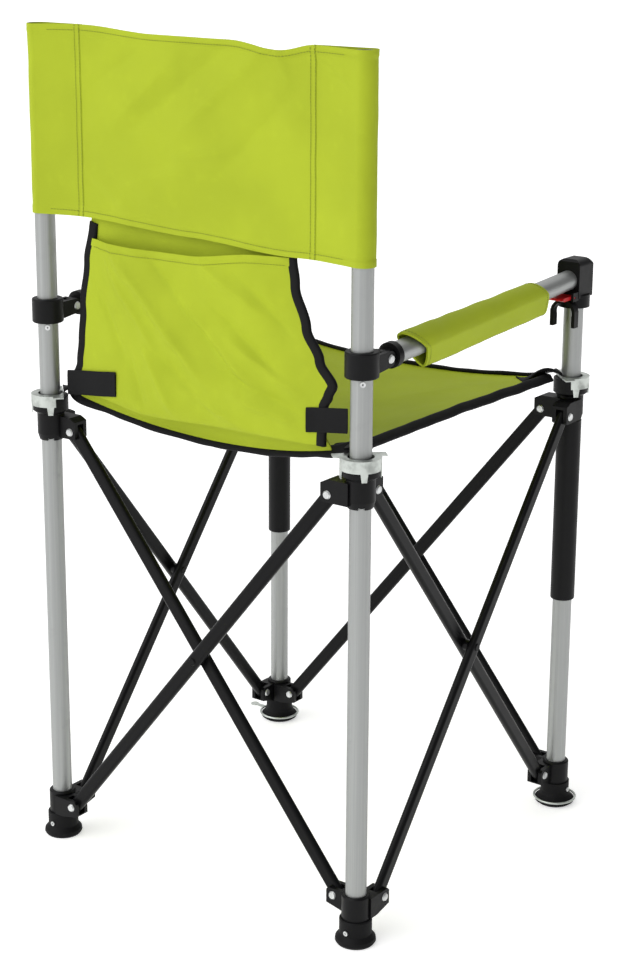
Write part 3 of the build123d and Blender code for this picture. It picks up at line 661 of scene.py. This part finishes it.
# ---------------------------------------------------------------- lower back panel and pocket
PANEL_Y = BACK_Y - 6 * MM
LEFT_EDGE = [(0.594, 0.196), (0.614, 0.203), (0.643, 0.190), (0.670, 0.187), (0.712, 0.183),
             (0.770, 0.174), (0.809, 0.166), (0.84, 0.160)]
RIGHT_EDGE = [(0.594, -0.182), (0.644, -0.185), (0.655, -0.191), (0.669, -0.197), (0.697, -0.179),
              (0.731, -0.161), (0.777, -0.145), (0.809, -0.141), (0.84, -0.141)]
PANEL_TOP = 0.832
PANEL_FOOT = 0.600  # below it the inner sheet hangs straight down
TUCK_TOP = 0.612  # where it starts to curve in under the pocket
BINDING_LOW, BINDING_HIGH = 0.598, 0.818
POCKET_WIDTH = 0.37
POCKET_LOW = [(-0.2, 0.600), (-0.156, 0.598), (-0.053, 0.598), (0.07, 0.594), (0.15, 0.604), (0.2, 0.611)]
POCKET_HIGH = [(-0.16, 0.808), (-0.134, 0.8075), (-0.012, 0.797), (0.063, 0.7955), (0.146, 0.7965),
               (0.17, 0.798)]


def panel_point(u, z, out):
    """A point of the panel at share u from its right edge, out behind the inner sheet."""
    right, left = interpolate(z, RIGHT_EDGE), interpolate(z, LEFT_EDGE)
    return Vector((MID_X + right + (left - right) * u, PANEL_Y + out, z))


# folds of the pocket, in the same order
POCKET_FOLDS = (
    (0.045, 0.715, 47, 0.085, 0.010, 8.0), (0.000, 0.725, 44, 0.090, 0.009, -6.5),
    (-0.035, 0.700, 40, 0.080, 0.009, 7.0), (-0.080, 0.705, 36, 0.060, 0.009, -6.0),
    (-0.105, 0.680, 28, 0.055, 0.007, 6.0), (-0.090, 0.652, 18, 0.060, 0.007, -5.0),
    (-0.110, 0.628, 12, 0.050, 0.006, 4.5), (0.095, 0.730, 52, 0.060, 0.009, 6.0),
    (0.130, 0.700, 62, 0.050, 0.008, -5.0), (0.110, 0.775, 48, 0.035, 0.008, 5.0),
    (-0.055, 0.768, 30, 0.050, 0.008, 5.0), (-0.110, 0.745, 40, 0.040, 0.007, -4.0),
    (0.050, 0.640, 60, 0.045, 0.010, 6.0), (0.090, 0.635, 70, 0.035, 0.009, -5.0),
    (0.010, 0.640, 38, 0.050, 0.009, -4.0), (-0.030, 0.620, 20, 0.050, 0.007, 4.0),
)


def pocket_folds(x, z):
    """Height of the pocket's folds in millimetres."""
    folds = sum(height * crease(x, z, x0, z0, *rest) for x0, z0, *rest, height in POCKET_FOLDS)
    return FOLD_DEPTH * folds + 3.0 * ripple(x, z, 0.055, 9.0) + 1.0 * ripple(x, z, 0.02, 2.0)


def pocket_out(u, z, bulge):
    """How far the pocket's outer sheet stands behind the panel."""
    x = panel_point(u, z, 0).x - MID_X
    across = max(0.0, 1 - abs(2 * u - 1) ** 3.2)
    low = interpolate(x, POCKET_LOW)
    up = min(1.0, max(0.0, (z - low) / 0.026))
    rise = 0.6 + 0.4 * math.sqrt(1 - (1 - up) ** 2)
    belly = bulge * across * rise * (0.75 + 0.25 * (z - low) / 0.2)
    folds = pocket_folds(x, z) * MM * min(1, across * 1.6) * min(1, up + 0.35)
    return 1.2 * MM + belly + folds


class CHAIR_OT_pocket(bpy.types.Operator):
    """Makes the lower back panel, the pocket on it and their bindings"""

    bl_idname = "chair.pocket"
    bl_label = "Lower back panel and pocket"

    def execute(self, context):
        cloth, lime, black = context.scene.chair_fabric, FINISHES["lime"], FINISHES["webbing"]

        def inner(u, v):
            # the sheet curves in under the pocket to meet the seat's rear edge
            x = panel_point(u, PANEL_FOOT, 0).x - MID_X
            edge = seat_point(math.copysign(1, x), abs(x) / seat_side(1), 1, cloth.seat_sag)
            low = edge.z + 2 * MM
            z = low + (PANEL_TOP - low) * v**1.15
            under = min(1.0, max(0.0, (TUCK_TOP - z) / (TUCK_TOP - low + MM)))
            tuck = 6 * MM * math.sin(math.pi * under) * math.sin(math.pi * u)
            under = under * under * (3 - 2 * under)
            slack = 2.5 * MM * math.sin(math.pi * u) * (0.6 + 0.4 * ripple(x, z, 0.07, 4))
            place = panel_point(u, max(z, PANEL_FOOT), -0.3 * MM - slack)
            return Vector((place.x, place.y + (edge.y + 1 * MM - place.y) * under - tuck, z))

        panel = cloth_sheet("lower_back_sheet", even(72), even(72), inner)
        thicken(panel, cloth.cloth, 0)
        dress(panel, lime, "back_right_hub", "fabric", "lower_back_panel")

        def outer(u, v):
            x = POCKET_WIDTH * (u - 0.5)
            low, high = interpolate(x, POCKET_LOW), interpolate(x, POCKET_HIGH)
            z = low + (high - low) * v
            extra = 0.5 * MM if v > 0.955 else 0  # the turned hem
            return panel_point(u, z, pocket_out(u, z, cloth.pocket) + extra)

        rows = [i / 66 * 0.952 for i in range(67)] + [0.957, 0.98, 1]
        pocket = cloth_sheet("pocket_sheet", even(96), rows, outer)
        thicken(pocket, cloth.cloth, 0)
        dress(pocket, lime, "back_right_hub", "fabric", "back_pocket")
        flattened = [panel, pocket]

        # the bindings, over the pocket's edges and above it over the inner sheet alone
        for side_name, u in (("right", 0.0), ("left", 1.0)):
            table = RIGHT_EDGE if u == 0 else LEFT_EDGE
            sign = -1 if u == 0 else 1
            path, sides = [], []
            for t in even(90):
                z = BINDING_LOW + (BINDING_HIGH - BINDING_LOW) * t
                slope = (interpolate(z + 2 * MM, table) - interpolate(z - 2 * MM, table)) / (4 * MM)
                inward = Vector((-sign, 0, sign * slope)).normalized()
                place = panel_point(u, z, 0) + inward * (
                    cloth.binding / 2 - 1.5 * MM + 0.8 * MM * ripple(z, u, 0.03, 8)
                )
                high = interpolate(place.x - MID_X, POCKET_HIGH)
                share = cloth.binding * 0.6 / 0.35
                out = pocket_out(share if u == 0 else 1 - share, min(z, high), cloth.pocket)
                if z >= high:
                    out *= math.exp(-(((z - high) / 0.012) ** 2))
                path.append(place + Vector((0, max(out, 0) * 0.45, 0)))
                sides.append(inward * (cloth.binding / 2))
            piece = tape(f"panel_binding_{side_name}", path, sides, 6.8 * MM)
            dress(piece, black, "back_right_hub", "fabric")
            flattened.append(piece)

        hem_line = []
        for t in even(120):
            u = 0.04 + 0.92 * t
            z = interpolate(POCKET_WIDTH * (u - 0.5), POCKET_HIGH) - 9.2 * MM
            place = panel_point(u, z, pocket_out(u, z, cloth.pocket) + 0.85 * MM)
            hem_line.append((place, Vector((0, 1, 0))))
        piece = stitches("pocket_stitching", [hem_line], cloth.stitch)
        dress(piece, FINISHES["lime thread"], "back_right_hub", "fabric")
        flattened.append(piece)

        # the webbing patches at the lower corners
        for side_name, sign, x0, x1, z_mid, tall in (
            ("right", -1, -0.216, -0.160, 0.6305, 0.029), ("left", 1, 0.121, 0.205, 0.620, 0.031)
        ):
            path, sides = [], []
            for t in even(14):
                x = x0 + (x1 - x0) * t
                z = z_mid - 0.13 * (x - (x0 + x1) / 2)
                right, left = interpolate(z, RIGHT_EDGE), interpolate(z, LEFT_EDGE)
                u = (x - right) / (left - right)
                out = pocket_out(min(max(u, 0), 1), z, cloth.pocket) + 1.9 * MM
                path.append(Vector((MID_X + x, PANEL_Y + max(out, 5.5 * MM), z)))
                sides.append(Vector((0, 0, tall / 2)))
            piece = tape(f"panel_patch_{side_name}", path, sides, 2.6 * MM)
            dress(piece, black, "back_right_hub", "fabric")
            flattened.append(piece)
        inset = 36 * MM  # from a leg's axis to the panel
        keep = (folded_spacing() - 2 * inset) / (2 * HALF - 2 * inset)
        for piece in flattened:
            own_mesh(piece)
        return {"FINISHED"}


# ---------------------------------------------------------------- seat
SEAT_EDGE = HALF - 14 * MM
SEAT_RIM_Z = 0.5985


def seat_outline(across):
    """How far forward and back the seat reaches at a share of its half-width, from 0 to 1."""
    return SEAT_EDGE - 16 * MM * (1 - across**2) - 14 * MM * max(0.0, (across - 0.86) / 0.14) ** 2


def seat_side(along):
    """How far sideways the seat reaches at a share of its half-depth."""
    return SEAT_EDGE - 4 * MM * (1 - along**2)


def seat_point(sign, u, v, sag):
    """u from the middle to the side, v from front to back, both 0 to 1."""
    along = 2 * v - 1
    x = sign * seat_side(along) * u
    y = seat_outline(u) * along
    hang = (1 - u**2.2) * (sag * (0.45 + 0.55 * v) + 6 * MM * (1 - along**2))
    rise = 2 * MM * along * u
    folds = 1.6 * ripple(x, y, 0.08, 6.0) + 2.6 * crease(x, y, sign * 0.13, 0.13, sign * 45, 0.09, 0.02)
    folds += 2.6 * crease(x, y, sign * 0.13, -0.13, -sign * 45, 0.09, 0.02)
    folds *= MM * (1 - abs(along) ** 6) * (1 - u**8)
    return Vector((MID_X + x, y, SEAT_RIM_Z - hang + rise + folds))


class CHAIR_OT_seat(bpy.types.Operator):
    """Makes both halves of the seat, their bindings and the webbing at the four collars"""

    bl_idname = "chair.seat"
    bl_label = "Seat"

    def execute(self, context):
        cloth = context.scene.chair_fabric
        for side_name, sign in (("right", -1), ("left", 1)):
            def half(u, v, sign=sign):
                return seat_point(sign, u, v, cloth.seat_sag)

            piece = cloth_sheet(f"seat_sheet_{side_name}", even(48), even(80), half)
            thicken(piece, cloth.cloth, 0)
            dress(piece, FINISHES["seat lime"], f"seat_{side_name}", "fabric", f"seat_{side_name}_half")
            pieces = [piece]
            edges = (
                ("rear", [(t, 1.0) for t in even(40)], Vector((0, -0.65, 0.76))),
                ("front", [(t, 0.0) for t in even(40)], Vector((0, 0.65, 0.76))),
                ("side", [(1.0, t) for t in even(60)], Vector((-sign * 0.75, 0, 0.66))),
            )
            for edge_name, places, inward in edges:
                path, sides = [], []
                for u, v in places:
                    wave = 1.2 * MM * ripple(u * 0.2, v * 0.4, 0.03, 5.0)
                    path.append(half(u, v) + Vector((inward.x * 1.3 * MM, inward.y * 1.3 * MM, wave)))
                    corner = max(0.0, (u - 0.72) / 0.28) if edge_name == "rear" else 0
                    sides.append(inward * (cloth.binding / 2 * (1 + 0.9 * corner)))
                tape_piece = tape(f"seat_binding_{edge_name}_{side_name}", path, sides, 6.0 * MM)
                dress(tape_piece, FINISHES["webbing"], f"seat_{side_name}", "fabric")
                pieces.append(tape_piece)
            keep = (folded_spacing() - 2 * (HALF - SEAT_EDGE)) / (2 * SEAT_EDGE)
            for made in pieces:
                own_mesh(made)

        for corner, x_sign, y_sign in (
            ("back_right", -1, 1), ("back_left", 1, 1), ("front_right", -1, -1), ("front_left", 1, -1)
        ):
            # a folded strap from the seat's corner up to the collar's plate
            leg = Vector((MID_X + x_sign * HALF, y_sign * HALF, 0))
            inward = Vector((-x_sign, -y_sign, 0)).normalized()
            side = Vector((-inward.y, inward.x, 0))
            path, sides = [], []
            for t in even(18):
                out = 16 * MM + 52 * MM * t
                z = SEAT_RIM_Z + 3 * MM + 5 * MM * math.sin(math.pi * min(1, t * 1.3)) - 9 * MM * t
                path.append(leg + inward * out + Vector((0, 0, z)))
                wide = 17 * MM - 4 * MM * math.sin(math.pi * t) + 2 * MM * t
                tilt = math.radians(30) * math.sin(math.pi * t)
                sides.append((side * math.cos(tilt) + Vector((0, 0, -y_sign * math.sin(tilt)))) * wide)
            piece = tape(f"seat_webbing_{corner}", path, sides, 4.5 * MM)
            dress(piece, FINISHES["webbing"], f"{corner}_hub", "fabric")
        return {"FINISHED"}


# ---------------------------------------------------------------- armrest pads
class CHAIR_OT_pads(bpy.types.Operator):
    """Makes the padded cloth wrapped round both armrest tubes"""

    bl_idname = "chair.pads"
    bl_label = "Armrest pads"

    def execute(self, context):
        cloth = context.scene.chair_fabric
        for side_name in ("right", "left"):
            low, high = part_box(f"{side_name}_arm_tube")
            x = (low.x + high.x) / 2
            pad_low, pad_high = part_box(f"{side_name}_arm_pad")
            rise = math.asin((high.z - low.z - 2 * TUBE) / (high.y - low.y))
            ahead = Vector((0, -math.cos(rise), math.sin(rise)))
            up = Vector((0, math.sin(rise), math.cos(rise)))
            rear = Vector((x, high.y, low.z + TUBE)) + ahead * ((high.y - pad_high.y) / math.cos(rise))
            length = (pad_high.y - pad_low.y) / math.cos(rise) - 4 * MM

            def wrap(u, v, rear=rear, ahead=ahead, up=up, length=length):
                turn = 2 * math.pi * (u - 0.5)  # 0 on top
                under = (1 - math.cos(turn)) / 2
                start = 36 * MM * under
                end = length - 34 * MM * (1 - under) - 6 * MM * under
                along = start + (end - start) * v
                near = min(v, 1 - v) * length
                radius = (16.8 + 3.4 * (1 - v) ** 2) * MM
                radius *= 1 - 0.06 * math.exp(-((near / (9 * MM)) ** 2))
                across, height = radius * math.sin(turn), radius * math.cos(turn)
                if height < 0:
                    share = -height / radius
                    height = -30.5 * MM * share**1.2
                    across *= 1 - 0.40 * share
                puff = 0.9 * MM * ripple(along, turn * 0.02, 0.035, 4.4)
                puff += 0.8 * MM * crease(along, turn * 0.02, 0.09, 0.03, 40, 0.05, 0.008)
                return rear + ahead * along + up * (height + puff) + Vector((across * (1 + puff * 50), 0, 0))

            piece = cloth_sheet(f"arm_pad_cloth_{side_name}", even(56), even(70), wrap, closed=True)
            thicken(piece, 2.6 * MM, -1)
            dress(piece, FINISHES["pad lime"], f"{side_name}_arm", "fabric", f"{side_name}_arm_pad")
            lines = []
            for v in (6 * MM / length, 1 - 6 * MM / length):
                turns = [(u, 2 * math.pi * (u - 0.5)) for u in even(60)]
                lines.append([(wrap(u, v), Vector((math.sin(turn), 0, math.cos(turn)))) for u, turn in turns])
            for shift in (0.035, -0.035):
                outward = Vector((math.copysign(1, -shift), 0, -0.3)).normalized()
                lines.append([(wrap(shift % 1, v), outward) for v in even(100)])
            piece = stitches(f"arm_pad_stitching_{side_name}", lines, cloth.stitch)
            dress(piece, FINISHES["lime thread"], f"{side_name}_arm", "fabric")
        return {"FINISHED"}


# ---------------------------------------------------------------- finishes of the frame
class CHAIR_OT_finishes(bpy.types.Operator):
    """Makes every finish and gives the frame's parts theirs"""

    bl_idname = "chair.finishes"
    bl_label = "Finishes"

    def execute(self, context):
        fabric, metal = context.scene.chair_fabric, context.scene.chair_finish
        FINISHES.update({
            "lime": cloth_finish("Lime cloth", fabric.lime),
            "seat lime": cloth_finish("Lime seat cloth", fabric.lime, "X", "Y"),
            "pad lime": cloth_finish("Lime pad cloth", fabric.lime, "Y", "Z"),
            "lime thread": thread_finish("Lime thread", [c * 0.36 for c in fabric.lime]),
            "webbing": webbing_finish("Black webbing", fabric.webbing),
            "tube": tube_finish("Anodised leg tube", metal.tube, (1, 1, 0.004)),
            "arm tube": tube_finish("Anodised arm tube", metal.tube, (1, 0.004, 1)),
            "bars": paint_finish("Black bar paint", metal.black),
            "black": moulded_finish("Black moulded plastic", metal.black),
            "rubber": moulded_finish("Black rubber", metal.black, 0.55, 400),
            "red": moulded_finish("Red moulded plastic", metal.lever, 0.30),
            "collar": zinc_finish("Galvanised collar", (0.52, 0.55, 0.52), 110, 0.32),
            "rivet": zinc_finish("Zinc rivet", (0.62, 0.63, 0.63), 300, 0.30),
        })
        endings = (
            ("leg_tube", "tube"), ("arm_tube", "arm tube"), ("_foot", "rubber"), ("foot_ring", "collar"),
            ("collar", "collar"), ("fasteners", "rivet"), ("rivets", "rivet"), ("arm_rivet", "rivet"),
            ("lever", "red"), ("hub", "black"), ("sleeve", "black"), ("slider", "black"),
            ("fitting", "black"), ("cap", "black"), ("outer", "bars"), ("inner", "bars"),
        )
        for name, part in frame["nodes"].items():
            for ending, finish in endings:
                if name.endswith(ending):
                    part.data.materials.clear()
                    part.data.materials.append(FINISHES[finish])
                    break
        return {"FINISHED"}


# ---------------------------------------------------------------- floor, lights and camera
# the room's soft boxes: direction, strength, and how wide each reaches, from 1 a point to -1 all round
ROOM_LIGHTS = (
    ((0.35, 0.80, 0.62), 2.4, 0.70), ((-0.60, 0.75, 0.25), 0.28, 0.4), ((0.95, 0.25, 0.25), 0.40, 0.5),
    ((0.30, -0.60, 0.75), 0.9, 0.65),
)
CAMERA_PLACE = (-1.46336, 2.00127, 1.22362)
CAMERA_TURN = (217.14, 15.468, 0.036)  # azimuth, pitch and roll, in degrees
CAMERA_LENS, CAMERA_SENSOR = 74.383, 36  # in millimetres
CAMERA_SHIFT = (0.029555, -0.062534)
FLOOR_SIZE, BACKDROP_RADIUS = 90, 44


class CHAIR_OT_stage(bpy.types.Operator):
    """Makes the floor, the lights and the camera"""

    bl_idname = "chair.stage"
    bl_label = "Floor, lights and camera"

    def execute(self, context):
        scene = context.scene
        bpy.ops.object.select_all(action="DESELECT")
        bpy.ops.mesh.primitive_plane_add(size=FLOOR_SIZE, location=(0, 0, 0))
        floor = context.object
        floor.name = "floor"
        n = Nodes("Pale floor")
        n.finish(
            Base_Color=n.mix(n.noise(3, 3), (0.80, 0.80, 0.80, 1), (0.84, 0.84, 0.84, 1)),
            Roughness=0.9,
            Emission_Color=(1, 1, 1, 1),
            Emission_Strength=0.50,
        )
        floor.data.materials.append(n.material)
        bpy.ops.object.select_all(action="DESELECT")
        bpy.ops.mesh.primitive_cylinder_add(
            vertices=96, radius=BACKDROP_RADIUS, depth=60, end_fill_type="NOTHING", location=(0, 0, 0)
        )
        backdrop = context.object
        backdrop.name = "backdrop"
        n = Nodes("White backdrop")
        n.finish(Base_Color=(0, 0, 0, 1), Emission_Color=(1, 1, 1, 1), Emission_Strength=1.0)
        backdrop.data.materials.append(n.material)
        for ray in ("diffuse", "glossy", "transmission", "volume_scatter", "shadow"):
            setattr(backdrop, f"visible_{ray}", False)

        world = bpy.data.worlds.new("Room")
        world.use_nodes = True
        tree = world.node_tree
        place = tree.nodes.new("ShaderNodeTexCoord").outputs["Generated"]
        level = None
        for toward, power, width in ROOM_LIGHTS:
            dot = tree.nodes.new("ShaderNodeVectorMath")
            dot.operation = "DOT_PRODUCT"
            tree.links.new(place, dot.inputs[0])
            dot.inputs[1].default_value = Vector(toward).normalized()
            glow = tree.nodes.new("ShaderNodeMapRange")
            glow.interpolation_type = "SMOOTHSTEP"
            glow.inputs["From Min"].default_value = width
            glow.inputs["To Max"].default_value = power
            tree.links.new(dot.outputs["Value"], glow.inputs["Value"])
            total = tree.nodes.new("ShaderNodeMath")
            total.operation = "ADD"
            total.inputs[1].default_value = scene.chair_view.light
            tree.links.new(glow.outputs["Result"], total.inputs[0])
            if level:
                tree.links.new(level, total.inputs[1])
            level = total.outputs["Value"]
        tree.links.new(level, tree.nodes["Background"].inputs["Strength"])
        tree.nodes["Background"].inputs["Color"].default_value = (1, 1, 1, 1)
        scene.world = world
        scene.view_settings.view_transform = "Standard"

        lens = bpy.data.cameras.new("Camera")
        lens.lens, lens.sensor_width = CAMERA_LENS, CAMERA_SENSOR
        lens.shift_x, lens.shift_y = CAMERA_SHIFT
        camera = bpy.data.objects.new("Camera", lens)
        camera.location = Vector(CAMERA_PLACE) + Vector((MID_X, 0, 0))
        yaw, pitch, roll = (math.radians(a) for a in CAMERA_TURN)
        level_ahead = Vector((-math.sin(yaw), math.cos(yaw), 0))
        ahead = level_ahead * math.cos(pitch) - Vector((0, 0, math.sin(pitch)))
        side = Vector((math.cos(yaw), math.sin(yaw), 0))
        up = side.cross(ahead)
        right = side * math.cos(roll) + up * math.sin(roll)
        top = up * math.cos(roll) - side * math.sin(roll)
        camera.rotation_euler = Matrix((right, top, -ahead)).transposed().to_euler()
        scene.collection.objects.link(camera)
        scene.camera = camera
        return {"FINISHED"}


# ---------------------------------------------------------------- panel and registration
OPERATORS = (
    CHAIR_OT_finishes, CHAIR_OT_backrest, CHAIR_OT_pocket, CHAIR_OT_seat, CHAIR_OT_pads, CHAIR_OT_stage,
)
GROUPS = {"chair_fabric": ChairFabric, "chair_finish": ChairFinish, "chair_view": ChairView}


class CHAIR_PT_panel(bpy.types.Panel):
    """Lists the chair's sizes, colours and steps"""

    bl_idname = "CHAIR_PT_panel"
    bl_label = "Camp chair"
    bl_space_type = "VIEW_3D"
    bl_region_type = "UI"
    bl_category = "Camp chair"

    def draw(self, context):
        for name, group in GROUPS.items():
            settings = getattr(context.scene, name)
            for prop in group.__annotations__:
                self.layout.prop(settings, prop)
        for operator in OPERATORS:
            self.layout.operator(operator.bl_idname)


def register():
    for group in GROUPS.values():
        bpy.utils.register_class(group)
    for operator in OPERATORS + (CHAIR_PT_panel,):
        bpy.utils.register_class(operator)
    for name, group in GROUPS.items():
        setattr(bpy.types.Scene, name, PointerProperty(type=group))


def unregister():
    for name in GROUPS:
        delattr(bpy.types.Scene, name)
    for made in (CHAIR_PT_panel,) + OPERATORS[::-1] + tuple(GROUPS.values())[::-1]:
        bpy.utils.unregister_class(made)


def main():
    register()
    bpy.ops.chair.finishes()
    bpy.ops.chair.backrest()
    bpy.ops.chair.pocket()
    bpy.ops.chair.seat()
    bpy.ops.chair.pads()
    bpy.ops.chair.stage()


if __name__ == "__main__":
    main()
